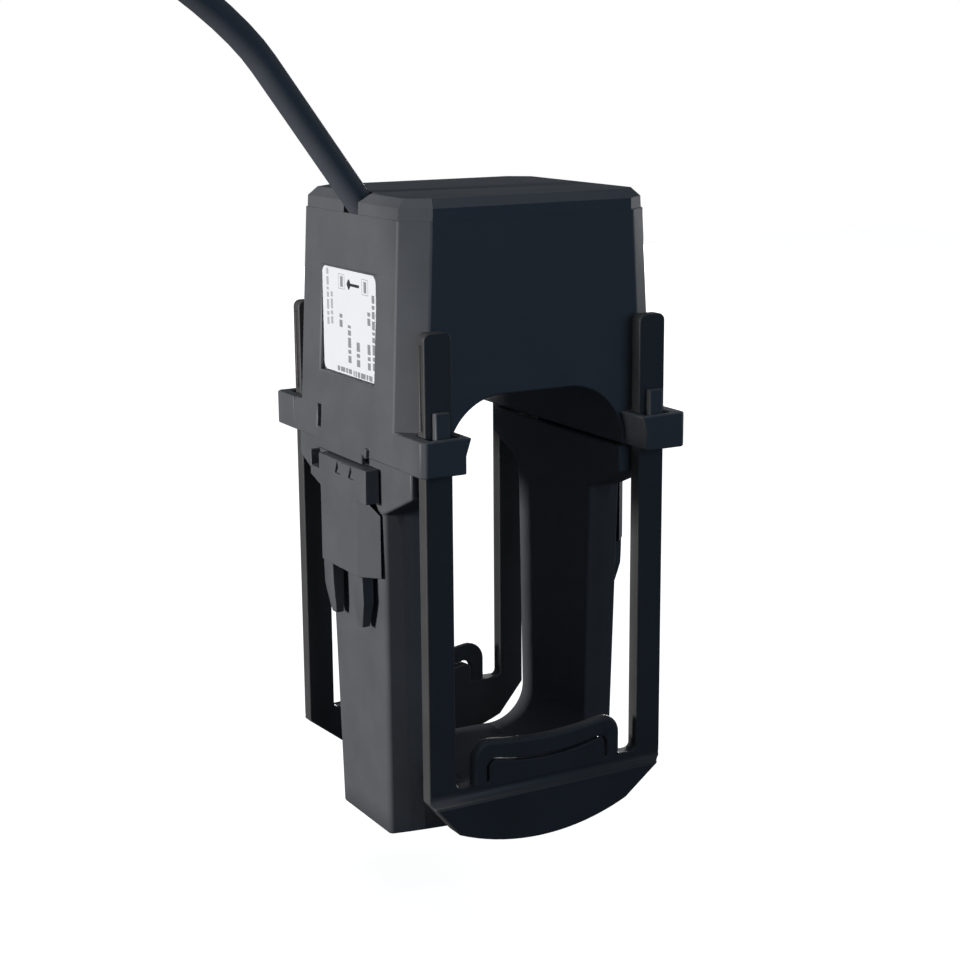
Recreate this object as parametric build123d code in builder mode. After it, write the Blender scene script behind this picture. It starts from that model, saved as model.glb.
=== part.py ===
from build123d import *
import os
from math import cos, pi, radians, sin, tan

os.makedirs("parts", exist_ok=True)

# Split-core current transformer, in millimetres.
# It stands on the flat foot of its yoke, at z = 0, with the conductor window open along Y.
# Rises and drops are measured from the plane where the two halves meet, unless they say otherwise.

# Conductor window and the plane where the two halves meet
window_width = 42.0
split_z = 83.2
window_floor_z = 10.2
window_floor_radius = 9.0
window_floor_wall = 1.5
window_wall = 1.2
arch_rise = 13.5
arch_spring = 0.5

# Split core of wound steel strip
core_thickness = 4.0
core_depth = 19.0
core_clearance = 0.3
core_corner_radius = 2.0
core_bend_radius = 5.0
pole_rise = 6.0
pole_gap = 0.1
upper_core_rise = 35.0
spring_thickness = 0.4
spring_length = 38.0
spring_width = 12.0

# Coil former and secondary winding on the upper limb
former_end_room = 7.5
former_wall = 1.0
former_flange = 1.2
former_clearance = 0.3
winding_thickness = 8.4
wrap_thickness = 0.3
flange_margin = 0.8

# Clamps that press the conductor up against the arch; their heights start from the foot
clamp_leg_inset = 1.25
clamp_leg_width = 6.2
clamp_thickness = 3.03
clamp_clearance = 0.2
clamp_leg_rise = 27.9
clamp_tip_radius = 1.5
clamp_foot_z = 2.0
long_cheek_slope = 9.6
short_cheek_slope = 6.2
cheek_height = 4.2
shoulder_height = 7.4
crease_drop = 1.0
scoop_height = 2.4
scoop_depth = 0.6
bar_face = 0.9
bar_radius = 1.2
belly_step = 1.5
groove_width = 0.8
groove_depth = 0.5
groove_start = 1.0
groove_end = 2.5

# Finger handle of a clamp, standing on its crossbar
handle_gap = 4.05
handle_height = 10.1
handle_thickness = 1.8
handle_sag = 2.1
handle_bar = 4.4
handle_post = 3.3
handle_radius = 4.2
handle_slot_radius = 2.2
handle_edge = 1.1
panel_gap = 0.6
panel_radius = 1.7

# Upper housing: drafted box with cut corners
body_width = 52.92
cover_room = 18.3
end_draft = 2.75
side_draft = 0.75
corner_cut_x = 5.35
corner_cut_y = 4.42
body_wall = 2.0
floor_wall = 2.0
rib_width = 8.0
skirt_drop = 1.95
skirt_wall = 1.1
skirt_low_y = -7.9
skirt_high_y = 14.8

# Cover that closes the housing
cover_height = 4.2
cover_inset = 0.3
cover_bevel = 1.8
cover_wall = 2.0
cover_lip_height = 2.0
cover_lip_wall = 1.2
cover_lip_clearance = 0.15

# Guide loops that carry the two clamps, with their spring tongues
loop_height = 7.3
loop_front_wall = 1.7
loop_back_wall = 1.1
loop_end_wall = 2.68
loop_corner_cut = 1.0
loop_step = 0.4
loop_lean = 1.2
loop_lean_start = 3.7
tongue_width = 3.3
tongue_thickness = 1.5
tongue_rise = 12.3
tongue_gap = 0.3
tongue_space = 0.78
tongue_tip_radius = 0.4
tongue_web = 2.0

# Yoke: the detachable lower half of the window
yoke_gap = 0.3
yoke_window_inset = 1.0
yoke_end_wall = 1.2
yoke_side_wall = 1.75
yoke_end_draft = 0.85
yoke_side_draft = 1.53
yoke_crown = 3.2
yoke_edge_radius = 1.2
collar_inset = 1.83
collar_overhang = 0.24
collar_edge_drop = 6.0
collar_root_drop = 11.6
collar_root_reach = 4.2
foot_plate_thickness = 1.5
foot_plate_clearance = 0.15

# Snap latches on the two ends
latch_reach = 1.67
latch_wall = 1.1
latch_top_gap = 0.25
head_low_y = -13.1
head_high_y = 13.8
head_drop = 9.3
head_depth = 3.1
arm_rise = 1.7
plate_top_y = 8.8
plate_bottom_y = 8.5
plate_drop = 25.6
cheek_spread = 4.0
cheek_depth = 3.5
cheek_overlap = 2.2
cheek_slant = 5.0
corner_pocket_width = 3.9
corner_pocket_height = 3.5
corner_pocket_depth = 2.2
corner_pocket_margin = 0.5
prong_setback = 0.6
prong_thickness = 2.6
prong_taper = 0.8
prong_inner_y = 5.0
prong_outer_y = 9.4
prong_tip_y = 7.4
prong_tip_step = 0.4
prong_tip_height = 2.4
prong_length = 11.6
pivot_depth = 2.65
pivot_drop = 17.2
pivot_radius = 0.8
pivot_clearance = 0.05
pivot_boss_wall = 0.3
pivot_block_y = 4.8
lug_gap = 0.2
lug_thickness = 1.9
lug_radius = 1.3
arrow_width = 2.6
arrow_height = 2.8
arrow_centre_y = -2.8
arrow_spacing = 6.4
arrow_rise = 4.1
arrow_depth = 0.6

# Details of the visible end face
key_slot_y = 13.0
key_slot_width = 1.9
key_slot_low = 2.6
key_slot_high = 7.5
key_slot_depth = 1.4
pip_y = -11.0
pip_width = 1.2
pip_height = 2.1
pip_reach = 0.8
label_width = 25.2
label_height = 22.0
label_low = 15.4
label_thickness = 0.15
label_radius = 1.6
label_margin = 0.25
field_sink = 0.13

# Secondary cable, its strain relief and its put-away coil
cable_diameter = 5.8
cable_exit_reach = 0.08
cable_exit_above = 0.9
cable_lean = 54.2
notch_clearance = 0.45
flare_width = 15.6
flare_rise = 1.7
relief_start = 10.0
relief_length = 7.0
relief_wall = 1.3
lead_diameter = 1.2
lead_spacing = 2.4
coil_layers = 3
coil_radius = 31.0
coil_centre_x = -150.0
coil_centre_y = 0.0
floor_clearance = 0.05
tail_start = 14.0
tail_length = 8.0
sleeve_wall = 0.5
sleeve_length = 12.0
core_wire_diameter = 2.4
core_wire_length = 16.0
core_wire_spread = 2.0
core_wire_gap = 0.1
ferrule_collar = 0.3
ferrule_diameter = 1.7
ferrule_length = 8.0

# Window and core
window_half = window_width / 2
arch_radius = arch_rise - arch_spring
core_inner_x = window_half + window_wall + core_clearance
core_outer_x = core_inner_x + core_thickness
core_low_z = window_floor_z - window_floor_wall - core_clearance - core_thickness
pole_z = split_z + pole_rise
upper_core_z = split_z + upper_core_rise
limb_z = upper_core_z - core_thickness / 2
former_length = 2 * (core_inner_x - former_end_room)

# Clamps and loops, from the window outwards
clamp_inner_x = window_half + clamp_leg_inset
clamp_leg_x = clamp_inner_x + clamp_leg_width / 2
clamp_outer_x = clamp_inner_x + clamp_leg_width
long_cheek_x = clamp_outer_x - long_cheek_slope
short_cheek_x = clamp_outer_x - short_cheek_slope
belly_middle_x = (long_cheek_x - short_cheek_x) / 2
loop_inner_x = window_half + loop_step
body_half_length = clamp_outer_x + clamp_clearance + loop_end_wall
body_back_y = body_width / 2
clamp_back_y = body_back_y + loop_back_wall + clamp_clearance
clamp_front_y = clamp_back_y + clamp_thickness
tongue_back_y = clamp_front_y + tongue_gap
loop_face_y = tongue_back_y + tongue_thickness + tongue_space + loop_front_wall
loop_top_z = split_z + loop_height
clamp_cheek_z = clamp_foot_z + cheek_height
clamp_shoulder_z = clamp_cheek_z + shoulder_height
belly_crease_z = clamp_shoulder_z - crease_drop
scoop_top_z = belly_crease_z + scoop_height
clamp_bar_z = scoop_top_z + bar_face
clamp_leg_top = split_z + clamp_leg_rise
groove_low_z = loop_top_z + groove_start
groove_high_z = clamp_leg_top - groove_end
handle_half = clamp_inner_x - handle_gap
handle_end_z = clamp_bar_z + handle_height
slot_half = handle_half - handle_post
slot_z = handle_end_z - handle_bar
panel_half = slot_half - panel_gap
panel_end_z = slot_z - panel_gap

# Housing and yoke
yoke_window_half = window_half - yoke_window_inset
body_height = upper_core_rise + cover_room
cover_z = split_z + body_height - cover_height
top_z = split_z + body_height
yoke_top_z = split_z - yoke_gap
collar_half_x = body_half_length - collar_inset
collar_half_y = body_back_y + collar_overhang
collar_edge_z = split_z - collar_edge_drop
collar_root_z = split_z - collar_root_drop
collar_root_y = core_depth / 2 + core_clearance + collar_root_reach

# Latches
latch_x = body_half_length + latch_reach
head_back_x = latch_x - head_depth
head_bottom_z = split_z - head_drop
head_top_z = split_z - skirt_drop - latch_top_gap
cheek_x = latch_x - cheek_depth
cheek_y = plate_top_y + cheek_spread
cheek_outer_z = head_bottom_z + cheek_overlap
cheek_inner_z = cheek_outer_z - cheek_slant
plate_bottom_z = split_z - plate_drop
prong_bottom_z = plate_bottom_z - prong_length
pivot_x = latch_x - pivot_depth
pivot_z = split_z - pivot_drop
arrow_base_z = head_bottom_z + arrow_rise
prong_front_x = latch_x - prong_setback

# Cable
cable_radius = cable_diameter / 2
notch_width = cable_diameter + 2 * notch_clearance
relief_diameter = cable_diameter + 2 * relief_wall
sleeve_diameter = cable_diameter + 2 * sleeve_wall


def body_half_x(z, wall=0.0):
    """Half length of the upper housing at a height."""
    return body_half_length - (z - split_z) * tan(radians(end_draft)) - wall


def body_half_y(z, wall=0.0):
    """Half width of the upper housing at a height."""
    return body_width / 2 - (z - split_z) * tan(radians(side_draft)) - wall


def cut_corner_outline(half_x, half_y, cut_x, cut_y):
    """Rectangle with its four corners cut off, drawn as a closed face."""
    with BuildLine() as outline:
        Polyline(
            (half_x, 0),
            (half_x, half_y - cut_y),
            (half_x - cut_x, half_y),
            (0, half_y),
        )
        mirror(about=Plane.XZ)
        mirror(about=Plane.YZ)
    make_face(outline.edges())


def belly_edge():
    """Lower edge of a clamp from shoulder to shoulder, cut deeper on one side."""
    Line((-clamp_outer_x, clamp_shoulder_z), (-short_cheek_x, clamp_cheek_z))
    ThreePointArc(
        (-short_cheek_x, clamp_cheek_z), (belly_middle_x, clamp_foot_z), (long_cheek_x, clamp_cheek_z)
    )
    Line((long_cheek_x, clamp_cheek_z), (clamp_outer_x, clamp_shoulder_z))


def sagging_face(half_x, end_z, low_z):
    """Upright face under an edge that sags in the middle."""
    with BuildLine() as outline:
        Polyline((-half_x, end_z), (-half_x, low_z), (half_x, low_z), (half_x, end_z))
        ThreePointArc((-half_x, end_z), (0, end_z - handle_sag), (half_x, end_z))
    make_face(outline.edges())


def yoke_outline(half_x, half_y):
    """Section of the yoke: flat ends, crowned sides, softened corners."""
    with BuildLine() as outline:
        end = Line((half_x, -half_y), (half_x, half_y))
        side = ThreePointArc((half_x, half_y), (0, half_y + yoke_crown), (-half_x, half_y))
        mirror(end, about=Plane.YZ)
        mirror(side, about=Plane.XZ)
    make_face(outline.edges())
    fillet(vertices(), yoke_edge_radius)


def core_outline(low_z, high_z):
    """Front view of one U-shaped core half, limb down."""
    with BuildLine() as outline:
        Polyline(
            (core_inner_x, high_z),
            (core_outer_x, high_z),
            (core_outer_x, low_z),
            (-core_outer_x, low_z),
            (-core_outer_x, high_z),
            (-core_inner_x, high_z),
            (-core_inner_x, low_z + core_thickness),
            (core_inner_x, low_z + core_thickness),
            close=True,
        )
    make_face(outline.edges())
    fillet(vertices().group_by(Axis.Y)[1], core_corner_radius)
    fillet(vertices().group_by(Axis.Y)[0], core_bend_radius)


def cable_point(along):
    """Point on the straight part of the cable, measured up from the end face."""
    x = -body_half_x(top_z) - cable_exit_reach - along * cos(radians(cable_lean))
    z = top_z + cable_exit_above + along * sin(radians(cable_lean))
    return (x, 0, z)


def finish(piece, name):
    """Names a finished piece and writes it."""
    piece.part.label = name
    export_step(piece.part, f"parts/{name}.step")


# Reach of a selector round the place it looks for
near = 0.1

cable_direction = Vector(-cos(radians(cable_lean)), 0, sin(radians(cable_lean)))
cable_side = Vector(0, 1, 0)

# Upper housing
with BuildPart() as housing:
    # Square base behind the guide loops, then the drafted shell with cut corners
    with BuildSketch(Plane.XY.offset(split_z)):
        Rectangle(2 * body_half_x(split_z), 2 * body_half_y(split_z))
    with BuildSketch(Plane.XY.offset(loop_top_z)):
        Rectangle(2 * body_half_x(loop_top_z), 2 * body_half_y(loop_top_z))
    loft()
    with BuildSketch(Plane.XY.offset(loop_top_z)):
        cut_corner_outline(body_half_x(loop_top_z), body_half_y(loop_top_z), corner_cut_x, corner_cut_y)
    with BuildSketch(Plane.XY.offset(cover_z)):
        cut_corner_outline(body_half_x(cover_z), body_half_y(cover_z), corner_cut_x, corner_cut_y)
    loft()
    # Chamber for the core and the winding
    chamber_z = split_z + floor_wall
    with BuildSketch(Plane.XY.offset(chamber_z)):
        cut_corner_outline(
            body_half_x(chamber_z, body_wall), body_half_y(chamber_z, body_wall), corner_cut_x, corner_cut_y
        )
    with BuildSketch(Plane.XY.offset(cover_z)):
        cut_corner_outline(
            body_half_x(cover_z, body_wall), body_half_y(cover_z, body_wall), corner_cut_x, corner_cut_y
        )
    loft(mode=Mode.SUBTRACT)
    # Arched roof over the window, with the window cut through it
    with BuildSketch(Plane.XZ):
        with Locations((0, split_z)):
            Rectangle(
                window_width + 2 * window_wall, arch_rise + floor_wall, align=(Align.CENTER, Align.MIN)
            )
        roof_corners = vertices().group_by(Axis.Y)[-1]
        fillet(roof_corners, arch_radius + window_wall)
    extrude(amount=body_half_y(split_z, body_wall / 2), both=True)
    with BuildSketch(Plane.XZ):
        with Locations((0, split_z)):
            Rectangle(window_width, arch_rise, align=(Align.CENTER, Align.MIN))
        arch_corners = vertices().group_by(Axis.Y)[-1]
        fillet(arch_corners, arch_radius)
    extrude(amount=body_width, both=True, mode=Mode.SUBTRACT)
    # Sockets for the poles of the lower core
    with BuildSketch(Plane.XY.offset(split_z)):
        with Locations((core_inner_x + core_thickness / 2, 0), (-core_inner_x - core_thickness / 2, 0)):
            Rectangle(core_thickness + 2 * core_clearance, core_depth + 2 * core_clearance)
    extrude(amount=floor_wall, mode=Mode.SUBTRACT)
    # Ribs that hold the legs of the upper core
    for side in (1, -1):
        with BuildSketch(Plane.XY.offset(split_z)):
            rib_outer = body_half_x(upper_core_z, body_wall / 2)
            rib_inner = core_outer_x + core_clearance
            with Locations((side * (rib_inner + rib_outer) / 2, 0)):
                Rectangle(rib_outer - rib_inner, rib_width)
        extrude(amount=upper_core_rise - core_bend_radius)
    # Guide loops: a block at each corner, its pocket, and the tongue that stands in it
    for side_y in (1, -1):
        face = Plane.XZ.offset(side_y * (body_back_y - body_wall / 2))
        for side_x in (1, -1):
            with BuildSketch(face):
                with BuildLine():
                    Polyline(
                        (side_x * body_half_length, split_z),
                        (side_x * body_half_length, loop_top_z),
                        (side_x * (loop_inner_x - loop_lean), loop_top_z),
                        (side_x * loop_inner_x, split_z + loop_lean_start),
                        (side_x * loop_inner_x, split_z),
                        close=True,
                    )
                make_face()
            extrude(amount=side_y * (loop_face_y - body_back_y + body_wall / 2))
    loop_corners = (
        edges()
        .filter_by(Axis.Z)
        .filter_by(lambda edge: abs(edge.center().Y) > loop_face_y - near)
        .filter_by(lambda edge: abs(edge.center().X) > body_half_length - near)
    )
    chamfer(loop_corners, loop_corner_cut)
    pocket_depth = loop_face_y - body_back_y - loop_back_wall - loop_front_wall
    pocket_y = body_back_y + loop_back_wall + pocket_depth / 2
    corners = [(x, y) for x in (clamp_leg_x, -clamp_leg_x) for y in (pocket_y, -pocket_y)]
    with BuildSketch(Plane.XY.offset(split_z)):
        with Locations(*corners):
            Rectangle(clamp_leg_width + 2 * clamp_clearance, pocket_depth)
    extrude(amount=loop_height, mode=Mode.SUBTRACT)
    for side_y in (1, -1):
        with BuildSketch(Plane.XZ.offset(side_y * tongue_back_y)):
            with Locations((clamp_leg_x, split_z), (-clamp_leg_x, split_z)):
                Rectangle(tongue_width, tongue_rise, align=(Align.CENTER, Align.MIN))
            fillet(vertices().group_by(Axis.Y)[-1], tongue_tip_radius)
        extrude(amount=side_y * tongue_thickness)
    web_y = tongue_back_y + tongue_thickness / 2
    web_depth = loop_face_y - loop_front_wall - web_y
    webs = [(x, y * (web_y + web_depth / 2)) for x in (clamp_leg_x, -clamp_leg_x) for y in (1, -1)]
    with BuildSketch(Plane.XY.offset(split_z)):
        with Locations(*webs):
            Rectangle(tongue_width, web_depth)
    extrude(amount=tongue_web)
    # Skirt over each latch head, key slot and pip, the same at both ends by a half turn
    for turn in (0, 180):
        spin = Rotation(0, 0, turn)
        with Locations(spin):
            skirt_y = (skirt_low_y + skirt_high_y) / 2
            with Locations((-body_half_length + skirt_wall / 2, skirt_y, split_z)):
                Box(
                    skirt_wall,
                    skirt_high_y - skirt_low_y,
                    skirt_drop,
                    align=(Align.CENTER, Align.CENTER, Align.MAX),
                )
            with Locations((-body_half_length, pip_y, split_z + pip_height / 2)):
                Box(2 * pip_reach, pip_width, pip_height)
            key_slot_z = split_z + (key_slot_low + key_slot_high) / 2
            with Locations((-body_half_length, key_slot_y, key_slot_z)):
                Box(2 * key_slot_depth, key_slot_width, key_slot_high - key_slot_low, mode=Mode.SUBTRACT)
    # Upright field that the rating label lies on, sunk into the drafted end face
    field_z = split_z + label_low + label_height / 2
    label_x = body_half_x(field_z + label_height / 2) - field_sink
    with Locations((-label_x, 0, field_z)):
        Box(
            body_wall,
            label_width + 2 * label_margin,
            label_height + 2 * label_margin,
            align=(Align.MAX, Align.CENTER, Align.CENTER),
            mode=Mode.SUBTRACT,
        )
    # Way for the cable through the rim of the end wall
    with BuildSketch(Plane.XZ):
        with BuildLine():
            low = Vector(*cable_point(-relief_start - relief_length))
            high = Vector(*cable_point(relief_start))
            drop = Vector(-sin(radians(cable_lean)), 0, -cos(radians(cable_lean)))
            drop = drop * (cable_radius + floor_clearance)
            edge_low = low + drop
            edge_high = high + drop
            Polyline(
                (edge_low.X, edge_low.Z),
                (edge_high.X, edge_high.Z),
                (edge_low.X, edge_high.Z),
                close=True,
            )
        make_face()
    extrude(amount=notch_width / 2, both=True, mode=Mode.SUBTRACT)
finish(housing, "housing")

# Cover with the cable notch
with BuildPart() as housing_cover:
    with BuildSketch(Plane.XY.offset(cover_z)):
        cut_corner_outline(
            body_half_x(cover_z, cover_inset), body_half_y(cover_z, cover_inset), corner_cut_x, corner_cut_y
        )
    with BuildSketch(Plane.XY.offset(top_z)):
        cut_corner_outline(
            body_half_x(top_z, cover_inset), body_half_y(top_z, cover_inset), corner_cut_x, corner_cut_y
        )
    loft()
    chamfer(faces().sort_by(Axis.Z)[-1].edges(), cover_bevel)
    with BuildSketch(Plane.XY.offset(cover_z)):
        cut_corner_outline(
            body_half_x(cover_z, body_wall), body_half_y(cover_z, body_wall), corner_cut_x, corner_cut_y
        )
    extrude(amount=cover_height - cover_wall, mode=Mode.SUBTRACT)
    # Lip that drops inside the housing wall
    lip_z = cover_z - cover_lip_height
    lip_outer = body_wall + cover_lip_clearance
    lip_inner = lip_outer + cover_lip_wall
    with BuildSketch(Plane.XY.offset(lip_z)):
        cut_corner_outline(
            body_half_x(cover_z, lip_outer), body_half_y(cover_z, lip_outer), corner_cut_x, corner_cut_y
        )
    extrude(amount=cover_lip_height + cover_height - cover_wall)
    with BuildSketch(Plane.XY.offset(lip_z)):
        cut_corner_outline(
            body_half_x(cover_z, lip_inner), body_half_y(cover_z, lip_inner), corner_cut_x, corner_cut_y
        )
    extrude(amount=cover_lip_height + cover_height - cover_wall, mode=Mode.SUBTRACT)
    # Notch that the cable leaves through, flared where it meets the top
    cable_plane = Plane(
        origin=cable_point(-relief_start - relief_length), x_dir=cable_side, z_dir=cable_direction
    )
    with BuildSketch(cable_plane):
        Circle(notch_width / 2)
        Rectangle(notch_width, 2 * notch_width, align=(Align.CENTER, Align.MIN))
    extrude(amount=3 * relief_start, mode=Mode.SUBTRACT)
    with BuildSketch(Plane.YZ.offset(-body_half_length)):
        with BuildLine():
            Polyline(
                (-notch_width / 2, top_z - flare_rise),
                (notch_width / 2, top_z - flare_rise),
                (flare_width / 2, top_z + cover_bevel),
                (-flare_width / 2, top_z + cover_bevel),
                close=True,
            )
        make_face()
    extrude(amount=2 * cover_bevel + corner_cut_x / 2, mode=Mode.SUBTRACT)
finish(housing_cover, "housing_cover")

# Clamp: one moulded frame, used at the front and turned round for the rear
with BuildPart() as front_clamp:
    with BuildSketch(Plane.XZ.offset(clamp_back_y)):
        with BuildLine():
            belly_edge()
            Polyline(
                (clamp_outer_x, clamp_shoulder_z),
                (clamp_outer_x, clamp_leg_top),
                (clamp_inner_x, clamp_leg_top),
                (clamp_inner_x, clamp_bar_z),
                (-clamp_inner_x, clamp_bar_z),
                (-clamp_inner_x, clamp_leg_top),
                (-clamp_outer_x, clamp_leg_top),
                (-clamp_outer_x, clamp_shoulder_z),
            )
        make_face()
        fillet(vertices().group_by(Axis.Y)[-1], clamp_tip_radius)
        inner_corners = vertices().filter_by_position(Axis.Y, clamp_bar_z - near, clamp_bar_z + near)
        fillet(inner_corners, bar_radius)
    extrude(amount=clamp_thickness)
    # Belly below the crossbar, standing forward of it
    with BuildSketch(Plane.XZ.offset(clamp_back_y)):
        with BuildLine():
            belly_edge()
            Polyline(
                (clamp_outer_x, clamp_shoulder_z),
                (clamp_outer_x, scoop_top_z),
                (-clamp_outer_x, scoop_top_z),
                (-clamp_outer_x, clamp_shoulder_z),
            )
        make_face()
    extrude(amount=clamp_thickness + belly_step)
    # Hollow run-out between the crossbar and the belly
    with BuildSketch(Plane.YZ):
        with BuildLine():
            belly_y = clamp_front_y + belly_step
            middle_y = (clamp_front_y + belly_y) / 2 - scoop_depth
            middle_z = (scoop_top_z + belly_crease_z) / 2 - scoop_depth / 2
            ThreePointArc((-clamp_front_y, scoop_top_z), (-middle_y, middle_z), (-belly_y, belly_crease_z))
            Polyline(
                (-belly_y, belly_crease_z),
                (-belly_y - belly_step, belly_crease_z),
                (-belly_y - belly_step, scoop_top_z + belly_step),
                (-clamp_front_y, scoop_top_z + belly_step),
                (-clamp_front_y, scoop_top_z),
            )
        make_face()
    extrude(amount=clamp_outer_x + belly_step, both=True, mode=Mode.SUBTRACT)
    # Finger handle above the crossbar, a thin bow that sags in the middle
    with BuildSketch(Plane.XZ.offset(clamp_front_y)):
        sagging_face(handle_half, handle_end_z, scoop_top_z)
        fillet(vertices().group_by(Axis.Y)[-1], handle_radius)
    extrude(amount=-handle_thickness)
    handle_rim = (
        faces()
        .filter_by(Axis.Y)
        .sort_by(Axis.Y)
        .edges()
        .filter_by(lambda edge: edge.center().Y < near - clamp_front_y)
        .filter_by(lambda edge: abs(edge.center().X) < handle_half + near)
        .filter_by(lambda edge: edge.center().Z > clamp_bar_z + near)
    )
    fillet(handle_rim, handle_edge)
    with BuildSketch(Plane.XZ.offset(clamp_back_y)):
        sagging_face(slot_half, slot_z, clamp_bar_z)
        fillet(vertices().group_by(Axis.Y)[-1], handle_slot_radius)
    extrude(amount=clamp_thickness, mode=Mode.SUBTRACT)
    # Raised panel that nearly fills the handle
    with BuildSketch(Plane.XZ.offset(clamp_back_y)):
        sagging_face(panel_half, panel_end_z, scoop_top_z)
        fillet(vertices().group_by(Axis.Y)[-1], panel_radius)
    extrude(amount=clamp_thickness)
    # Short guide groove near the tip of each leg, on its outer side
    groove_z = (groove_low_z + groove_high_z) / 2
    groove_y = -(clamp_back_y + clamp_thickness / 2)
    with Locations((clamp_outer_x, groove_y, groove_z), (-clamp_outer_x, groove_y, groove_z)):
        Box(2 * groove_depth, groove_width, groove_high_z - groove_low_z, mode=Mode.SUBTRACT)
finish(front_clamp, "front_clamp")

with BuildPart() as rear_clamp:
    add(front_clamp.part, rotation=(0, 0, 180))
finish(rear_clamp, "rear_clamp")


def yoke_half_x(z):
    """Half length of the yoke at a height."""
    return core_outer_x + core_clearance + yoke_end_wall + z * tan(radians(yoke_end_draft))


def yoke_half_y(z):
    """Half width of the yoke's ends at a height."""
    return core_depth / 2 + core_clearance + yoke_side_wall + z * tan(radians(yoke_side_draft))


# Yoke: two legs and a foot round the window, under a collar that meets the upper housing
with BuildPart() as yoke_housing:
    with BuildSketch():
        yoke_outline(yoke_half_x(0), yoke_half_y(0))
    with BuildSketch(Plane.XY.offset(collar_edge_z)):
        yoke_outline(yoke_half_x(collar_edge_z), yoke_half_y(collar_edge_z))
    loft()
    with BuildSketch(Plane.YZ):
        with BuildLine():
            Polyline(
                (0, yoke_top_z),
                (collar_half_y, yoke_top_z),
                (collar_half_y, collar_edge_z),
                (collar_root_y, collar_root_z),
                (0, collar_root_z),
            )
            mirror(about=Plane.YZ)
        make_face()
    extrude(amount=collar_half_x, both=True)
    with BuildSketch(Plane.XZ):
        with Locations((0, window_floor_z)):
            Rectangle(2 * yoke_window_half, split_z, align=(Align.CENTER, Align.MIN))
        fillet(vertices().group_by(Axis.Y)[0], window_floor_radius)
    extrude(amount=2 * collar_half_y, both=True, mode=Mode.SUBTRACT)
    # Space for the core, open at the foot
    with BuildSketch(Plane.XZ):
        core_outline(core_low_z, pole_z)
        offset(amount=core_clearance, kind=Kind.INTERSECTION)
    extrude(amount=core_depth / 2 + core_clearance, both=True, mode=Mode.SUBTRACT)
    with BuildSketch():
        Rectangle(2 * (core_outer_x + core_clearance), core_depth + 2 * core_clearance)
    extrude(amount=core_low_z + core_thickness + core_clearance, mode=Mode.SUBTRACT)
    # Bearing lugs for the latches
    lug_inner_y = pivot_block_y + lug_gap
    for turn in (0, 180):
        with Locations(Rotation(0, 0, turn)):
            for side in (1, -1):
                lug_y = side * (lug_inner_y + lug_thickness / 2)
                lug_root_x = yoke_half_x(pivot_z) - yoke_end_wall / 2
                with Locations((-(lug_root_x + pivot_x) / 2, lug_y, pivot_z)):
                    Box(pivot_x - lug_root_x, lug_thickness, 2 * lug_radius)
                with Locations(Location((-pivot_x, lug_y, pivot_z), (90, 0, 0))):
                    Cylinder(lug_radius, lug_thickness)
                    Cylinder(pivot_radius + pivot_clearance, lug_thickness, mode=Mode.SUBTRACT)
finish(yoke_housing, "yoke_housing")

# Plate that closes the foot of the yoke
with BuildPart() as foot_plate:
    plate_margin = 2 * (core_clearance - foot_plate_clearance)
    with BuildSketch():
        Rectangle(2 * core_outer_x + plate_margin, core_depth + plate_margin)
    extrude(amount=foot_plate_thickness)
finish(foot_plate, "foot_plate")

# Leaf spring that presses the lower core upwards
with BuildPart() as core_spring:
    spring_low_z = foot_plate_thickness + spring_thickness / 2
    spring_high_z = core_low_z - spring_thickness / 2
    with BuildSketch(Plane.XZ):
        with BuildLine():
            ThreePointArc(
                (-spring_length / 2, spring_low_z), (0, spring_high_z), (spring_length / 2, spring_low_z)
            )
        trace(line_width=spring_thickness)
    extrude(amount=spring_width / 2, both=True)
finish(core_spring, "core_spring")

# Core halves
with BuildPart() as lower_core:
    with BuildSketch(Plane.XZ):
        core_outline(core_low_z, pole_z)
    extrude(amount=core_depth / 2, both=True)
finish(lower_core, "lower_core")

with BuildPart() as upper_core:
    downward = Plane(origin=(0, 0, upper_core_z), x_dir=(1, 0, 0), z_dir=(0, 1, 0))
    with BuildSketch(downward):
        core_outline(0, upper_core_z - pole_z - pole_gap)
    extrude(amount=core_depth / 2, both=True)
finish(upper_core, "upper_core")

# Former, winding and wrap round the limb of the upper core
bore_y = core_depth + 2 * former_clearance
bore_z = core_thickness + 2 * former_clearance
tube_y = bore_y + 2 * former_wall
tube_z = bore_z + 2 * former_wall
coil_y = tube_y + 2 * winding_thickness
coil_z = tube_z + 2 * winding_thickness
coil_length = former_length - 2 * former_flange
limb_plane = Plane(origin=(0, 0, limb_z), x_dir=(0, 1, 0), z_dir=(1, 0, 0))

with BuildPart() as coil_former:
    with BuildSketch(limb_plane):
        Rectangle(tube_y, tube_z)
    extrude(amount=former_length / 2, both=True)
    for side in (1, -1):
        with BuildSketch(limb_plane.offset(side * (former_length / 2 - former_flange))):
            RectangleRounded(coil_y + 2 * flange_margin, coil_z + 2 * flange_margin, 2 * former_flange)
        extrude(amount=side * former_flange)
    with BuildSketch(limb_plane):
        Rectangle(bore_y, bore_z)
    extrude(amount=former_length, both=True, mode=Mode.SUBTRACT)
finish(coil_former, "coil_former")

with BuildPart() as secondary_winding:
    with BuildSketch(limb_plane):
        RectangleRounded(coil_y, coil_z, winding_thickness / 2)
        Rectangle(tube_y, tube_z, mode=Mode.SUBTRACT)
    extrude(amount=coil_length / 2, both=True)
finish(secondary_winding, "secondary_winding")

with BuildPart() as winding_wrap:
    with BuildSketch(limb_plane):
        RectangleRounded(
            coil_y + 2 * wrap_thickness, coil_z + 2 * wrap_thickness, winding_thickness / 2 + wrap_thickness
        )
        RectangleRounded(coil_y, coil_z, winding_thickness / 2, mode=Mode.SUBTRACT)
    extrude(amount=coil_length / 2, both=True)
finish(winding_wrap, "winding_wrap")

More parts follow.
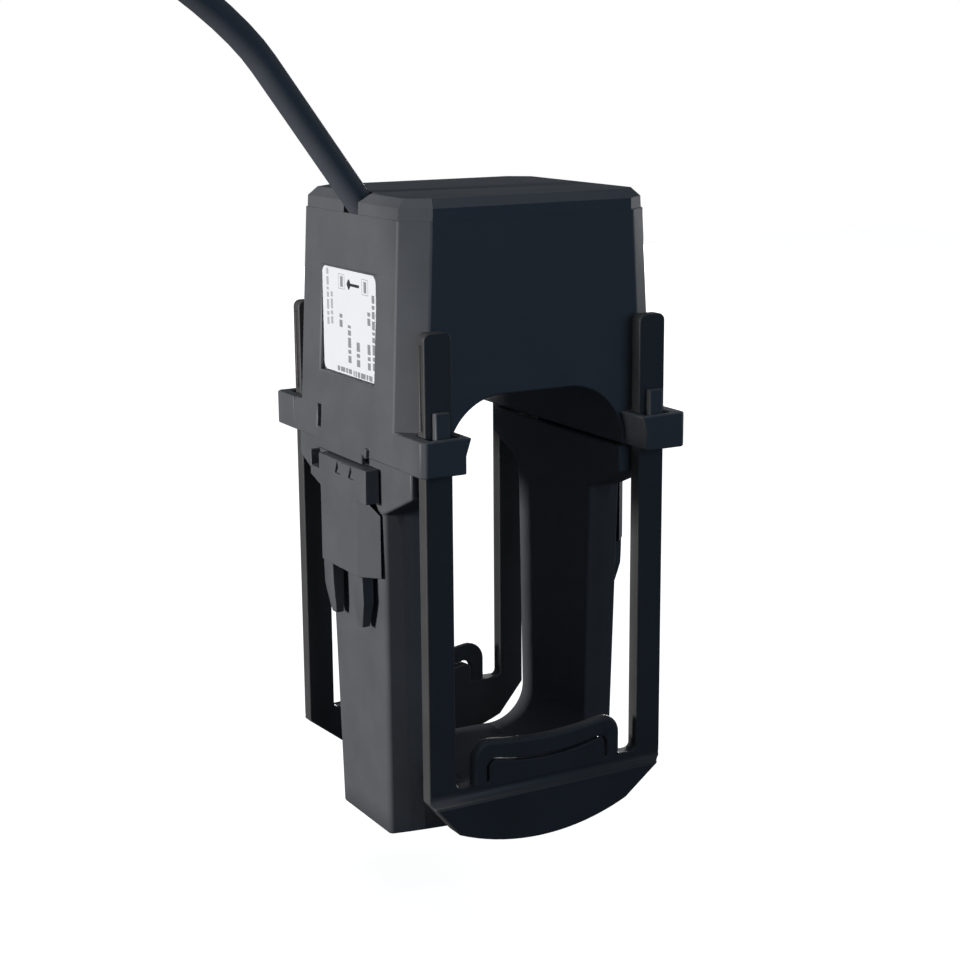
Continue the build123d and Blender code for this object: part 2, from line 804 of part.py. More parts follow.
# Snap latch: a rocker with a T-shaped head, a hollow plate and two press prongs
with BuildPart() as left_latch:
    with BuildSketch(Plane.XY.offset(plate_bottom_z)):
        with BuildLine():
            Polyline((-latch_x, 0), (-latch_x, plate_top_y), (-cheek_x, cheek_y), (-cheek_x, 0))
            mirror(about=Plane.XZ)
        make_face()
    extrude(amount=cheek_outer_z - plate_bottom_z)
    hollow_x = latch_x - latch_wall
    slant = (cheek_y - plate_top_y) / (latch_x - cheek_x)
    cheek_wall = latch_wall * (1 + slant**2) ** 0.5
    with BuildSketch(Plane.XY.offset(plate_bottom_z)):
        with BuildLine():
            front_y = plate_top_y + slant * latch_wall - cheek_wall
            back_x = cheek_x - latch_wall
            back_y = cheek_y + slant * latch_wall - cheek_wall
            Polyline((-hollow_x, 0), (-hollow_x, front_y), (-back_x, back_y), (-back_x, 0))
            mirror(about=Plane.XZ)
        make_face()
    extrude(amount=cheek_outer_z - plate_bottom_z, mode=Mode.SUBTRACT)
    with BuildSketch(Plane.XZ):
        with BuildLine():
            Polyline(
                (-latch_x, cheek_outer_z),
                (-cheek_x, cheek_inner_z),
                (-cheek_x + latch_wall, cheek_inner_z),
                (-cheek_x + latch_wall, cheek_outer_z),
                close=True,
            )
        make_face()
    extrude(amount=cheek_y + latch_wall, both=True, mode=Mode.SUBTRACT)
    # Front plate up to the head
    with BuildSketch(Plane.YZ.offset(-latch_x)):
        with BuildLine():
            Polyline(
                (0, head_bottom_z),
                (plate_top_y, head_bottom_z),
                (plate_bottom_y, plate_bottom_z),
                (0, plate_bottom_z),
            )
            mirror(about=Plane.YZ)
        make_face()
    extrude(amount=latch_wall)
    with BuildSketch(Plane.YZ.offset(-latch_x)):
        with BuildLine():
            Polyline(
                (head_low_y, head_bottom_z),
                (plate_top_y, head_bottom_z),
                (head_high_y, head_bottom_z + arm_rise),
                (head_high_y, head_top_z),
                (head_low_y, head_top_z),
                close=True,
            )
        make_face()
    extrude(amount=latch_x - head_back_x)
    # Corner pocket and the two arrow recesses in the head
    pocket_y = head_high_y - corner_pocket_width / 2 - corner_pocket_margin
    with Locations((-latch_x, pocket_y, head_top_z)):
        Box(
            2 * corner_pocket_depth,
            corner_pocket_width,
            2 * corner_pocket_height,
            mode=Mode.SUBTRACT,
        )
    with BuildSketch(Plane.YZ.offset(-latch_x)):
        for side in (1, -1):
            arrow_y = arrow_centre_y + side * arrow_spacing / 2
            with BuildLine():
                Polyline(
                    (arrow_y - arrow_width / 2, arrow_base_z),
                    (arrow_y + arrow_width / 2, arrow_base_z),
                    (arrow_y, arrow_base_z + arrow_height),
                    close=True,
                )
            make_face()
    extrude(amount=arrow_depth, mode=Mode.SUBTRACT)
    # Press prongs below the plate, thinner towards their tips
    for side in (1, -1):
        with BuildSketch(Plane.YZ.offset(-prong_front_x)):
            with BuildLine():
                Polyline(
                    (side * prong_inner_y, plate_bottom_z + latch_wall),
                    (side * prong_outer_y, plate_bottom_z + latch_wall),
                    (side * prong_outer_y, (plate_bottom_z + prong_bottom_z) / 2),
                    (side * prong_tip_y, prong_bottom_z),
                    (side * (prong_inner_y + prong_tip_step), prong_bottom_z),
                    (side * prong_inner_y, prong_bottom_z + prong_tip_height),
                    close=True,
                )
            make_face()
        extrude(amount=prong_thickness)
    with BuildSketch(Plane.XZ):
        with BuildLine():
            Line((-prong_front_x, prong_bottom_z), (-prong_front_x + prong_taper, prong_bottom_z))
            TangentArc(
                (-prong_front_x, plate_bottom_z),
                (-prong_front_x + prong_taper, prong_bottom_z),
                tangent=(0, -1),
            )
            Line((-prong_front_x, plate_bottom_z), (-prong_front_x, prong_bottom_z))
        make_face()
    extrude(amount=2 * prong_outer_y, both=True, mode=Mode.SUBTRACT)
    # Bearing block and its stub pins
    block_radius = pivot_radius + pivot_boss_wall
    with Locations((-(hollow_x + pivot_x) / 2, 0, pivot_z)):
        Box(hollow_x - pivot_x + latch_wall, 2 * pivot_block_y, 2 * block_radius)
    with Locations(Location((-pivot_x, 0, pivot_z), (90, 0, 0))):
        Cylinder(block_radius, 2 * pivot_block_y)
        Cylinder(pivot_radius, 2 * (pivot_block_y + lug_gap + lug_thickness))
finish(left_latch, "left_latch")

with BuildPart() as right_latch:
    add(left_latch.part, rotation=(0, 0, 180))
finish(right_latch, "right_latch")

# Rating label on its field
with BuildPart() as rating_label:
    with BuildSketch(Plane.YZ.offset(-label_x)):
        with Locations((0, field_z)):
            RectangleRounded(label_width, label_height, label_radius)
    extrude(amount=-label_thickness)
finish(rating_label, "rating_label")

# Strain relief round the cable inside the housing, and the two leads to the winding
with BuildPart() as strain_relief:
    with BuildSketch(Plane(origin=cable_point(-relief_start), x_dir=cable_side, z_dir=cable_direction)):
        Circle(relief_diameter / 2)
    extrude(amount=-relief_length)
    chamfer(edges().filter_by(GeomType.CIRCLE), cable_radius / 4)
finish(strain_relief, "strain_relief")

with BuildPart() as winding_leads:
    lead_start = Vector(*cable_point(-relief_start - relief_length))
    lead_corner = lead_start - cable_direction * lead_diameter
    for side in (1, -1):
        offset_y = Vector(0, side * lead_spacing / 2, 0)
        with BuildLine():
            FilletPolyline(
                lead_start + offset_y,
                lead_corner + offset_y,
                Vector(-former_length / 2, 0, lead_corner.Z) + offset_y,
                radius=0.6 * lead_diameter,
            )
        with BuildSketch(
            Plane(origin=lead_start + offset_y, x_dir=cable_side, z_dir=cable_direction * -1)
        ):
            Circle(lead_diameter / 2)
        sweep()
finish(winding_leads, "winding_leads")

# Secondary cable: points chosen along its way over to the ground and into the coil
cable_route = [
    cable_point(-relief_start),
    (-49.3, 0, 165.8),
    (-86, -1, 192.5),
    (-122, -4, 191),
    (-147, -12, 164),
    (-160, -24, 130),
    (-169, -36, 97),
    (-177, -45, 65),
    (-181.5, -39, 36),
    (-180.5, -14, 20.8),
    (-174.3, 7, 18.6),
]


def bend_radii(points):
    """Largest arc that the runs beside each corner allow, with a margin."""
    radii = []
    for before, corner, after in zip(points, points[1:], points[2:]):
        run_in = Vector(*corner) - Vector(*before)
        run_out = Vector(*after) - Vector(*corner)
        turn = radians(run_in.get_angle(run_out))
        radii.append(0.45 * min(run_in.length, run_out.length) / tan(turn / 2))
    return radii


cable_radii = bend_radii(cable_route)
print("cable radii", [round(radius, 1) for radius in cable_radii])

with BuildPart() as cable:
    with BuildLine() as cable_path:
        FilletPolyline(*cable_route, radius=cable_radii)
    with BuildSketch(Plane(origin=cable_route[0], x_dir=cable_side, z_dir=cable_direction)):
        Circle(cable_radius)
    sweep()
path_length = sum(edge.length for edge in cable_path.edges())
print("cable path", round(path_length, 1))
path_volume = pi * cable_radius**2 * path_length
print("cable volume over section times path", round(cable.part.volume / path_volume, 5))
finish(cable, "cable")

# Put-away coil: outer shape of turns lying beside and on each other
coil_section = coil_layers * cable_diameter
with BuildPart() as cable_coil:
    with BuildSketch(Plane.XZ.offset(-coil_centre_y)):
        with Locations((coil_centre_x + coil_radius, floor_clearance + coil_section / 2)):
            RectangleRounded(coil_section, coil_section, cable_radius / 2)
    revolve(axis=Axis((coil_centre_x, coil_centre_y, 0), (0, 0, 1)))
finish(cable_coil, "cable_coil")

# Far end on the ground: a straight tail off the outer turn, a sleeve, and two ferruled cores
tail_y = coil_centre_y - coil_radius - cable_diameter
tail_z = sleeve_diameter / 2 + floor_clearance
tail_x = coil_centre_x - tail_start
sleeve_x = tail_x - tail_length
cores_x = sleeve_x - sleeve_length
ferrules_x = cores_x - core_wire_length

with BuildPart() as cable_tail:
    with BuildSketch(Plane(origin=(tail_x, tail_y, tail_z), z_dir=(-1, 0, 0))):
        Circle(cable_radius)
    extrude(amount=tail_length)
finish(cable_tail, "cable_tail")

with BuildPart() as cable_sleeve:
    with BuildSketch(Plane(origin=(sleeve_x, tail_y, tail_z), z_dir=(-1, 0, 0))):
        Circle(sleeve_diameter / 2)
    extrude(amount=sleeve_length)
    chamfer(edges().filter_by(GeomType.CIRCLE), (sleeve_diameter - cable_diameter) / 2)
finish(cable_sleeve, "cable_sleeve")


def core_axis(side):
    """Start of a core at the sleeve, and the run from there to its ferrule."""
    start_y = tail_y + side * (core_wire_diameter / 2 + core_wire_gap)
    start = Vector(cores_x, start_y, tail_z)
    end_y = start_y + side * core_wire_spread
    end = Vector(ferrules_x, end_y, core_wire_diameter / 2 + ferrule_collar + floor_clearance)
    return start, end - start


brown_start, brown_run = core_axis(1)
with BuildPart() as brown_core:
    with BuildSketch(Plane(origin=brown_start, z_dir=brown_run)):
        Circle(core_wire_diameter / 2)
    extrude(amount=brown_run.length)
finish(brown_core, "brown_core")

blue_start, blue_run = core_axis(-1)
with BuildPart() as blue_core:
    with BuildSketch(Plane(origin=blue_start, z_dir=blue_run)):
        Circle(core_wire_diameter / 2)
    extrude(amount=blue_run.length)
finish(blue_core, "blue_core")

with BuildPart() as core_ferrules:
    for start, run in ((brown_start, brown_run), (blue_start, blue_run)):
        with BuildSketch(Plane(origin=start + run, z_dir=run)):
            Circle(core_wire_diameter / 2 + ferrule_collar)
        extrude(amount=ferrule_length / 4)
        with BuildSketch(Plane(origin=start + run, z_dir=run)):
            Circle(ferrule_diameter / 2)
        extrude(amount=ferrule_length)
finish(core_ferrules, "core_ferrules")
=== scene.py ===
from math import cos, pi, radians, sin

import bmesh
import bpy
from mathutils import Matrix, Vector


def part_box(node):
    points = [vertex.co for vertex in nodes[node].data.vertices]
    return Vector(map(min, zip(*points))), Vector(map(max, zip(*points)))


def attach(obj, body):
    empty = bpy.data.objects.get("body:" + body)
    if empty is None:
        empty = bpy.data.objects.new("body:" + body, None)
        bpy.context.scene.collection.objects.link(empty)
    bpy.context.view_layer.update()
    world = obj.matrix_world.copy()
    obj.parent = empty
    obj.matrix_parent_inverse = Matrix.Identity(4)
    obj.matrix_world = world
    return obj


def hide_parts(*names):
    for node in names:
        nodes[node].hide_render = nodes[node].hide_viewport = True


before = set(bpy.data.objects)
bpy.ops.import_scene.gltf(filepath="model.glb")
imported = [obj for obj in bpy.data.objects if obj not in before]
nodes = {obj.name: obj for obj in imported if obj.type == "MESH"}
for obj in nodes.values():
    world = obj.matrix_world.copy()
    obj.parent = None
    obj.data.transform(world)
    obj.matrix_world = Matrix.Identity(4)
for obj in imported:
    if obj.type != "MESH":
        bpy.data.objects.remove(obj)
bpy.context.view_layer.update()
MM = 0.001


def linked(name, data):
    """New object of the scene that shows the data."""
    made = bpy.data.objects.new(name, data)
    bpy.context.scene.collection.objects.link(made)
    return made


def mesh_object(name, shape):
    """New object from a bmesh, which is used up."""
    data = bpy.data.meshes.new(name)
    shape.to_mesh(data)
    shape.free()
    return linked(name, data)


# ---------------------------------------------------------------- camera
CAMERA_PLACE = (-0.20181, -0.35937, 0.16666)
CAMERA_RIGHT = (0.86971, -0.49351, -0.00733)
CAMERA_UP = (0.11583, 0.18965, 0.97500)
LENS_MM = 72.38


def camera_at_photo():
    """Camera at the photograph's place: 29.5 degrees round from the front, 13 degrees down."""
    right = Vector(CAMERA_RIGHT)
    up = Vector(CAMERA_UP)
    back = right.cross(up)
    lens = bpy.data.cameras.new("photo_camera")
    lens.sensor_width = 36.0
    lens.lens = LENS_MM
    lens.clip_start = 0.02
    lens.clip_end = 20.0
    camera = linked("photo_camera", lens)
    turn = Matrix((right, up, back)).transposed().to_4x4()
    camera.matrix_world = Matrix.Translation(CAMERA_PLACE) @ turn
    bpy.context.scene.camera = camera


camera_at_photo()


# ---------------------------------------------------------------- cable
CABLE_DIAMETER = 5.8
# From the notch of the cover over the high bow and down into the coil, in millimetres
CABLE_ROUTE = [
    (-23.0, 0, 129.29),
    (-41.0, 0, 154.24),
    (-53.0, 0, 170.87),
    (-86, -1, 192.5),
    (-122, -4, 191),
    (-147, -12, 164),
    (-160, -24, 130),
    (-169, -36, 97),
    (-177, -45, 65),
    (-181.5, -39, 36),
    (-180.5, -14, 20.8),
    (-174.3, 7, 18.6),
]
COIL_CENTRE = (-150.0, 0.0)
COIL_RADII = (25.05, 30.7, 36.3)
COIL_HEIGHTS = (14.55, 8.75, 2.95)
MIDDLE_LAYER = 1
POINTS_PER_TURN = 16
# The route stands for the first points of the first turn, and the tail leaves the last turn early
POINTS_IN_ROUTE = 2
LAST_TURN = 0.75
# Each round changes over to the next one after this part of it
CHANGE_FROM = 0.8
TAIL = [(-157.0, -36.3, 2.95), (-165.0, -36.7, 3.3), (-172.0, -36.8, 3.45)]


def coil_turns():
    """Control points of the coil: out on the top layer, in on the middle one, out on the lowest."""
    rounds = []
    for layer, height in enumerate(COIL_HEIGHTS):
        radii = COIL_RADII[::-1] if layer == MIDDLE_LAYER else COIL_RADII
        rounds += [(radius, height) for radius in radii]
    last = len(rounds) - 1
    points = []
    for turn, (radius, height) in enumerate(rounds):
        ahead, ahead_height = rounds[min(turn + 1, last)]
        first = POINTS_IN_ROUTE if turn == 0 else 0
        steps = POINTS_PER_TURN if turn < last else round(POINTS_PER_TURN * LAST_TURN)
        for step in range(first, steps):
            part = step / POINTS_PER_TURN
            slide = max(0.0, (part - CHANGE_FROM) / (1.0 - CHANGE_FROM))
            angle = pi - 2 * pi * part
            reach = radius + (ahead - radius) * slide
            x = COIL_CENTRE[0] + reach * cos(angle)
            y = COIL_CENTRE[1] + reach * sin(angle)
            points.append((x, y, height + (ahead_height - height) * slide))
    return points


def curve_tube(name, points, radius_mm):
    """Smooth round cord through control points in millimetres; its points carry the radius."""
    data = bpy.data.curves.new(name, "CURVE")
    data.dimensions = "3D"
    data.bevel_depth = 1.0
    data.bevel_resolution = 8
    data.use_fill_caps = True
    spline = data.splines.new("NURBS")
    spline.points.add(len(points) - 1)
    for point, place in zip(spline.points, points):
        point.co = (place[0] * MM, place[1] * MM, place[2] * MM, 1.0)
        point.radius = radius_mm * MM
    spline.order_u = 3
    spline.use_endpoint_u = True
    spline.resolution_u = 6
    return linked(name, data)


lead_cable = curve_tube("lead_cable", CABLE_ROUTE + coil_turns() + TAIL, CABLE_DIAMETER / 2)
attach(lead_cable, "upper_half")
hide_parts("cable", "cable_coil", "cable_tail")


# ---------------------------------------------------------------- softened mouldings
# Node, its body, its slot, the width of the rounding on its sharp edges in millimetres,
# whether its many-sided faces go in triangles, and whether inner corners are rounded too
MOULDINGS = [
    ("housing", "upper_half", "grey_plastic", 0.30, True, False),
    ("yoke_housing", "yoke", "grey_plastic", 0.42, True, True),
    ("foot_plate", "yoke", "grey_plastic", 0.20, False, True),
    ("front_clamp", "front_clamp", "black_plastic", 0.25, False, True),
    ("rear_clamp", "rear_clamp", "black_plastic", 0.25, False, True),
    ("left_latch", "left_latch", "grey_plastic", 0.14, False, True),
    ("right_latch", "right_latch", "grey_plastic", 0.14, False, True),
]
# The cover's seam stays a fine line, so the edges at its height aren't rounded
COVER_HEIGHT = 4.2
SEAM_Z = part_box("housing_cover")[1][2] / MM - COVER_HEIGHT
AT_SEAM = 0.05
# Facets of one flat face meet below the first angle, those of a curved one between the next two
SAME_FACE = radians(0.6)
CURVE_FROM = radians(0.5)
SHARP_FROM = radians(28)
LARGEST_FACET = 100 * MM * MM


def is_curved(face):
    """Whether a face is a facet of a curved surface."""
    slight = [edge for edge in face.edges if CURVE_FROM < edge.calc_face_angle(0.0) < SHARP_FROM]
    return len(slight) > 1 and face.calc_area() < LARGEST_FACET


def is_sharp(edge, inner_too):
    """Whether an edge is one that the rounding takes."""
    at_seam = all(abs(vert.co.z / MM - SEAM_Z) < AT_SEAM for vert in edge.verts)
    of_kind = inner_too or edge.is_convex
    return of_kind and edge.calc_face_angle(0.0) > SHARP_FROM and not at_seam


def softened(name, body, slot, width_mm, in_triangles, inner_too):
    """Copy of a moulded node whose sharp edges are rounded the way a mould tool leaves them."""
    shape = bmesh.new()
    shape.from_mesh(nodes[name].data)
    bmesh.ops.remove_doubles(shape, verts=shape.verts, dist=1e-6)
    bmesh.ops.dissolve_limit(
        shape, angle_limit=SAME_FACE, verts=shape.verts, edges=shape.edges
    )
    for face in shape.faces:
        face.smooth = is_curved(face)
    sharp = [edge for edge in shape.edges if is_sharp(edge, inner_too)]
    if in_triangles:
        many_sided = [face for face in shape.faces if len(face.verts) > 4]
        bmesh.ops.triangulate(shape, faces=many_sided)
    rounding = bmesh.ops.bevel(
        shape,
        geom=sharp,
        offset=width_mm * MM,
        offset_type="OFFSET",
        segments=2,
        profile=0.5,
        affect="EDGES",
        material=-1,
        clamp_overlap=False,
        miter_outer="ARC",
    )
    for face in rounding["faces"]:
        face.smooth = True
    piece = mesh_object(name + "_moulded", shape)
    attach(piece, body)
    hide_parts(name)
    return piece


mouldings = {row[0]: softened(*row) for row in MOULDINGS}


# ---------------------------------------------------------------- label print
# Outlines are given as y and as height over the plane where the halves meet, in millimetres
SPLIT_Z = 83.2
PRINT_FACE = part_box("rating_label")[0][0] / MM
ARROW = [
    (-5.0, 34.2),
    (-5.0, 34.8),
    (-0.9, 34.8),
    (-0.3, 35.6),
    (0.1, 35.5),
    (0.9, 34.5),
    (0.1, 33.5),
    (-0.3, 33.4),
    (-0.9, 34.2),
]
# Fields of print as two opposite corners: the first two lists read upwards, the third along y
DARK_FIELDS = [
    (3.2, 25.2, 4.6, 28.2),
    (-0.7, 18.1, 0.7, 26.4),
    (-4.8, 17.8, -3.3, 22.9),
    (-9.9, 27.0, -8.6, 30.4),
    (-9.7, 17.8, -8.4, 23.5),
    (-11.9, 18.0, -10.7, 33.4),
]
PALE_FIELDS = [(9.6, 25.1, 10.6, 37.0), (7.7, 25.4, 8.7, 32.5)]
FOOT_FIELDS = [(-0.8, 15.8, 6.4, 16.8), (-10.4, 15.6, -1.6, 16.7)]
# Two outlined boxes with a mark in each
FRAMES = [(1.9, 33.2, 4.8, 36.4), (-9.1, 33.0, -6.2, 36.3)]
FRAME_LINE = 0.16
WORDS = (1.5, 0.8, 2.1, 1.1, 0.6, 1.8)
WORD_GAP = 0.45
SHORTEST_WORD = 0.3
INK_HEIGHT = 0.02
PALE_INK_HEIGHT = 0.015
INK_ROOT = 0.02


def words(field, along_y=False):
    """A field of print as a row of plain blocks of unequal length."""
    y0, z0, y1, z1 = field
    low, high = (y0, y1) if along_y else (z0, z1)
    blocks = []
    start = low
    while start < high - SHORTEST_WORD:
        end = min(start + WORDS[len(blocks) % len(WORDS)], high)
        blocks.append((start, z0, end, z1) if along_y else (y0, start, y1, end))
        start = end + WORD_GAP
    return blocks


def frame_lines(field):
    """The four sides of a thin box."""
    y0, z0, y1, z1 = field
    return [
        (y0, z0, y1, z0 + FRAME_LINE),
        (y0, z1 - FRAME_LINE, y1, z1),
        (y0, z0 + FRAME_LINE, y0 + FRAME_LINE, z1 - FRAME_LINE),
        (y1 - FRAME_LINE, z0 + FRAME_LINE, y1, z1 - FRAME_LINE),
    ]


def frame_mark(field):
    """The mark inside a thin box."""
    y0, z0, y1, z1 = field
    return (y0 + 0.8, z0 + 0.5, y1 - 0.9, z1 - 0.5)


def corners(field):
    """Outline of a field given as two opposite corners."""
    y0, z0, y1, z1 = field
    return [(y0, z0), (y1, z0), (y1, z1), (y0, z1)]


def printed(name, outlines, height_mm):
    """Ink as thin plates that stand on the label."""
    ink = bmesh.new()
    for outline in outlines:
        rings = []
        for depth in (INK_ROOT, -height_mm):
            x = (PRINT_FACE + depth) * MM
            rings.append([ink.verts.new((x, y * MM, (SPLIT_Z + z) * MM)) for y, z in outline])
        back, front = rings
        ink.faces.new(back)
        ink.faces.new(front[::-1])
        for i in range(len(outline)):
            j = (i + 1) % len(outline)
            ink.faces.new((back[j], back[i], front[i], front[j]))
    bmesh.ops.recalc_face_normals(ink, faces=ink.faces)
    piece = mesh_object(name, ink)
    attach(piece, "upper_half")
    return piece


dark_print = printed("label_arrow", [ARROW], INK_HEIGHT)
grey_print = printed(
    "label_print",
    [corners(block) for field in DARK_FIELDS for block in words(field)]
    + [corners(block) for field in FOOT_FIELDS for block in words(field, along_y=True)]
    + [corners(frame_mark(field)) for field in FRAMES],
    INK_HEIGHT,
)
pale_print = printed(
    "label_pale_print",
    [corners(block) for field in PALE_FIELDS for block in words(field)]
    + [corners(line) for field in FRAMES for line in frame_lines(field)],
    PALE_INK_HEIGHT,
)


# ---------------------------------------------------------------- materials
def linear(code):
    """sRGB hex to a linear colour."""
    values = [int(code[i : i + 2], 16) / 255 for i in (1, 3, 5)]
    levels = [v / 12.92 if v <= 0.04045 else ((v + 0.055) / 1.055) ** 2.4 for v in values]
    return (*levels, 1.0)


def empty_tree(owner):
    """Node tree of a material or world, with nothing in it."""
    owner.use_nodes = True
    owner.node_tree.nodes.clear()
    return owner.node_tree


def add(tree, kind, links=(), **settings):
    """One shader node with its settings, socket values and links."""
    made = tree.nodes.new(kind)
    for key, value in settings.items():
        if hasattr(made, key):
            setattr(made, key, value)
        else:
            made.inputs[key.replace("_", " ")].default_value = value
    for source, socket in links:
        tree.links.new(source, made.inputs[socket])
    return made


def camera_mix(tree, output_kind, unseen, seen):
    """Output that gives the camera one shader and everything else another."""
    output = add(tree, output_kind)
    path = add(tree, "ShaderNodeLightPath")
    mix = add(
        tree,
        "ShaderNodeMixShader",
        [(path.outputs["Is Camera Ray"], 0), (unseen.outputs[0], 1), (seen.outputs[0], 2)],
    )
    tree.links.new(mix.outputs[0], output.inputs["Surface"])


def new_material(name):
    """Material with a principled shader and the object's own coordinates."""
    made = bpy.data.materials.new(name)
    tree = empty_tree(made)
    output = add(tree, "ShaderNodeOutputMaterial")
    shader = add(tree, "ShaderNodeBsdfPrincipled")
    tree.links.new(shader.outputs[0], output.inputs["Surface"])
    place = add(tree, "ShaderNodeTexCoord").outputs["Object"]
    return made, tree, shader, place


def noise(tree, place, size_mm, **settings):
    """Noise whose cells are as wide as the given size."""
    made = add(
        tree, "ShaderNodeTexNoise", [(place, "Vector")], Scale=1.0 / (size_mm * MM), **settings
    )
    return made.outputs["Fac"]


def spread(tree, factor, low, high):
    """The middle of a noise's range mapped to the given one."""
    made = add(
        tree,
        "ShaderNodeMapRange",
        [(factor, "Value")],
        From_Min=0.3,
        From_Max=0.7,
        To_Min=low,
        To_Max=high,
    )
    return made.outputs[0]


def moulded_plastic(name, dark, pale, roughness, grain_mm, grain_depth, mottle_mm=9.0):
    """Injection-moulded plastic: spark-eroded grain, faint flow mottling, a little sheen change."""
    made, tree, shader, place = new_material(name)
    mottle = noise(tree, place, mottle_mm, Detail=3.0, Roughness=0.55)
    tint = add(tree, "ShaderNodeValToRGB", [(mottle, "Fac")])
    low, high = tint.color_ramp.elements
    low.position, low.color = 0.32, linear(dark)
    high.position, high.color = 0.68, linear(pale)
    tree.links.new(tint.outputs["Color"], shader.inputs["Base Color"])
    gloss = spread(tree, mottle, roughness - 0.05, roughness + 0.05)
    tree.links.new(gloss, shader.inputs["Roughness"])
    grain = noise(tree, place, grain_mm, Detail=2.0, Roughness=0.6)
    bump = add(
        tree,
        "ShaderNodeBump",
        [(grain, "Height")],
        Strength=0.35,
        Distance=grain_depth * MM,
    )
    tree.links.new(bump.outputs["Normal"], shader.inputs["Normal"])
    shader.inputs["IOR"].default_value = 1.5
    return made


def plain(name, colour, roughness, metallic=0.0, mottle=0.03):
    """Smooth skin of one colour that varies a little."""
    made, tree, shader, place = new_material(name)
    cloud = noise(tree, place, 6.25, Detail=2.0)
    shift = spread(tree, cloud, 1.0 - mottle, 1.0 + mottle)
    mix = add(tree, "ShaderNodeHueSaturation", [(shift, "Value")], Color=linear(colour))
    tree.links.new(mix.outputs[0], shader.inputs["Base Color"])
    shader.inputs["Roughness"].default_value = roughness
    shader.inputs["Metallic"].default_value = metallic
    return made


housing_grey = moulded_plastic("housing_grey_moulded", "#56585B", "#5A5C5F", 0.55, 0.45, 0.05)
clamp_black = moulded_plastic("clamp_black_moulded", "#464545", "#4A4949", 0.5, 0.4, 0.05)
sheath_grey = moulded_plastic("cable_sheath_smooth", "#4B4F55", "#51555B", 0.5, 0.8, 0.02, 30.0)
label_white = plain("label_film", "#F0F0F2", 0.45, mottle=0.01)
ink_dark = plain("printing_ink_dark", "#2A2B2D", 0.6)
ink_grey = plain("printing_ink_grey", "#929396", 0.6)
ink_pale = plain("printing_ink_pale", "#B4B5B8", 0.6)
core_metal = plain("core_strip_steel", "#9A9DA2", 0.35, metallic=1.0)
copper = plain("enamelled_copper", "#A5532B", 0.3, metallic=0.6)
tape = plain("winding_tape", "#CDBB5A", 0.45)
former = plain("former_nylon", "#D8D5C9", 0.5)
rubber = plain("strain_relief_rubber", "#1E1E1E", 0.75)
shrink = plain("shrink_sleeve", "#191919", 0.5)
brown = plain("core_insulation_brown", "#5A3219", 0.35)
blue = plain("core_insulation_blue", "#1E55A0", 0.35)
tin = plain("tinned_ferrule", "#C9CACC", 0.3, metallic=1.0)

FINISHES = {
    "housing": housing_grey,
    "housing_cover": housing_grey,
    "yoke_housing": housing_grey,
    "foot_plate": housing_grey,
    "left_latch": housing_grey,
    "right_latch": housing_grey,
    "front_clamp": clamp_black,
    "rear_clamp": clamp_black,
    "upper_core": core_metal,
    "lower_core": core_metal,
    "core_spring": core_metal,
    "coil_former": former,
    "secondary_winding": copper,
    "winding_wrap": tape,
    "winding_leads": copper,
    "strain_relief": rubber,
    "rating_label": label_white,
    "cable_sleeve": shrink,
    "brown_core": brown,
    "blue_core": blue,
    "core_ferrules": tin,
}


def give(piece, material):
    """One material on the whole piece."""
    piece.data.materials.clear()
    piece.data.materials.append(material)


for name, material in FINISHES.items():
    give(mouldings.get(name, nodes[name]), material)
give(lead_cable, sheath_grey)
give(dark_print, ink_dark)
give(grey_print, ink_grey)
give(pale_print, ink_pale)


# ---------------------------------------------------------------- studio
LIGHT_AIM = Vector((0.0, 0.0, 0.08))
WHITE = (1.0, 1.0, 1.0)
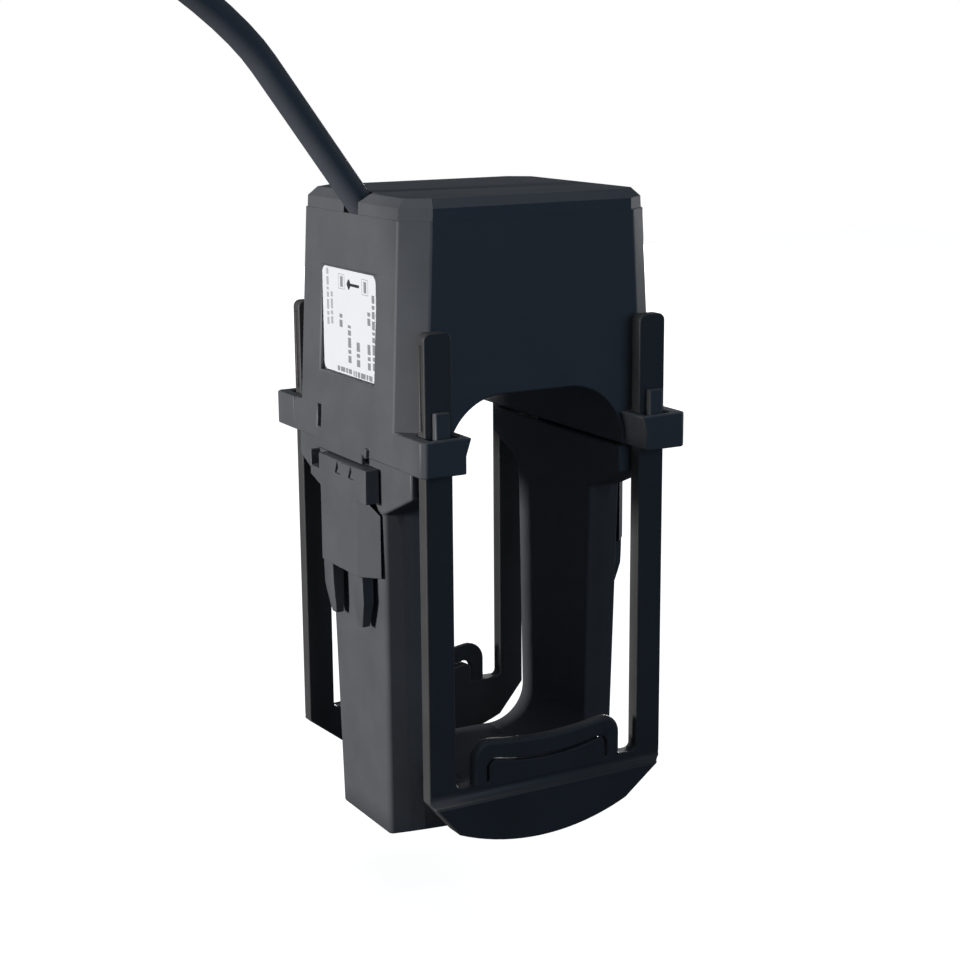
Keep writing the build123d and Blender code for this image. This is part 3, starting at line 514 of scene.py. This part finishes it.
# Name, place in metres, width and height in metres, power in watts and colour
LAMPS = [
    ("key_left", (-1.27, 0.08, 0.28), 0.2, 0.2, 16.2, WHITE),
    ("fill_front", (0.10, -1.40, 0.40), 1.0, 1.0, 2.6, (0.42, 0.66, 1.0)),
    ("fill_right", (1.35, 0.0, 0.14), 0.3, 0.3, 1.4, WHITE),
    ("fill_top", (0.10, 0.10, 1.25), 0.8, 0.8, 2.4, (0.85, 0.93, 1.0)),
    # Low behind, under the lid's plane, so that the sides away from the photograph are lit too
    ("fill_far", (0.90, 1.00, 0.07), 0.7, 0.12, 11.0, WHITE),
]
FLOOR_SIZE = 1.1
# The paper lies as low as the yoke is drawn off, so that it hides nothing at the joint's limit
FLOOR_Z = -0.0145


def area_light(name, place, width, height, power, colour):
    """Soft lamp turned to the middle of the object."""
    lamp = bpy.data.lights.new(name, "AREA")
    lamp.shape = "RECTANGLE"
    lamp.size = width
    lamp.size_y = height
    lamp.energy = power
    lamp.color = colour
    made = linked(name, lamp)
    made.location = place
    heading = LIGHT_AIM - Vector(place)
    made.rotation_euler = heading.to_track_quat("-Z", "Y").to_euler()


def white_world():
    """Surround that the camera sees as white and the object as a faint blue glow."""
    world = bpy.data.worlds.new("studio_world")
    bpy.context.scene.world = world
    tree = empty_tree(world)
    soft = add(tree, "ShaderNodeBackground", Color=(0.70, 0.84, 1.0, 1.0), Strength=0.06)
    white = add(tree, "ShaderNodeBackground", Color=(1.0, 1.0, 1.0, 1.0), Strength=1.0)
    camera_mix(tree, "ShaderNodeOutputWorld", soft, white)


def paper_floor():
    """Floor that glows white to the camera with a light shadow, and is a dim grey to the object."""
    ground = bmesh.new()
    bmesh.ops.create_grid(ground, x_segments=1, y_segments=1, size=FLOOR_SIZE)
    floor = mesh_object("floor", ground)
    floor.data.transform(Matrix.Translation((0.0, 0.0, FLOOR_Z)))
    made = bpy.data.materials.new("floor_paper")
    tree = empty_tree(made)
    paper = add(tree, "ShaderNodeBsdfDiffuse", Color=linear("#BDBDBD"))
    glow = add(tree, "ShaderNodeEmission", Color=(1.0, 1.0, 1.0, 1.0), Strength=0.94)
    seen = add(tree, "ShaderNodeAddShader", [(paper.outputs[0], 0), (glow.outputs[0], 1)])
    dim = add(tree, "ShaderNodeBsdfDiffuse", Color=linear("#44484F"))
    camera_mix(tree, "ShaderNodeOutputMaterial", dim, seen)
    give(floor, made)


for row in LAMPS:
    area_light(*row)
white_world()
paper_floor()
bpy.context.scene.view_settings.view_transform = "Standard"
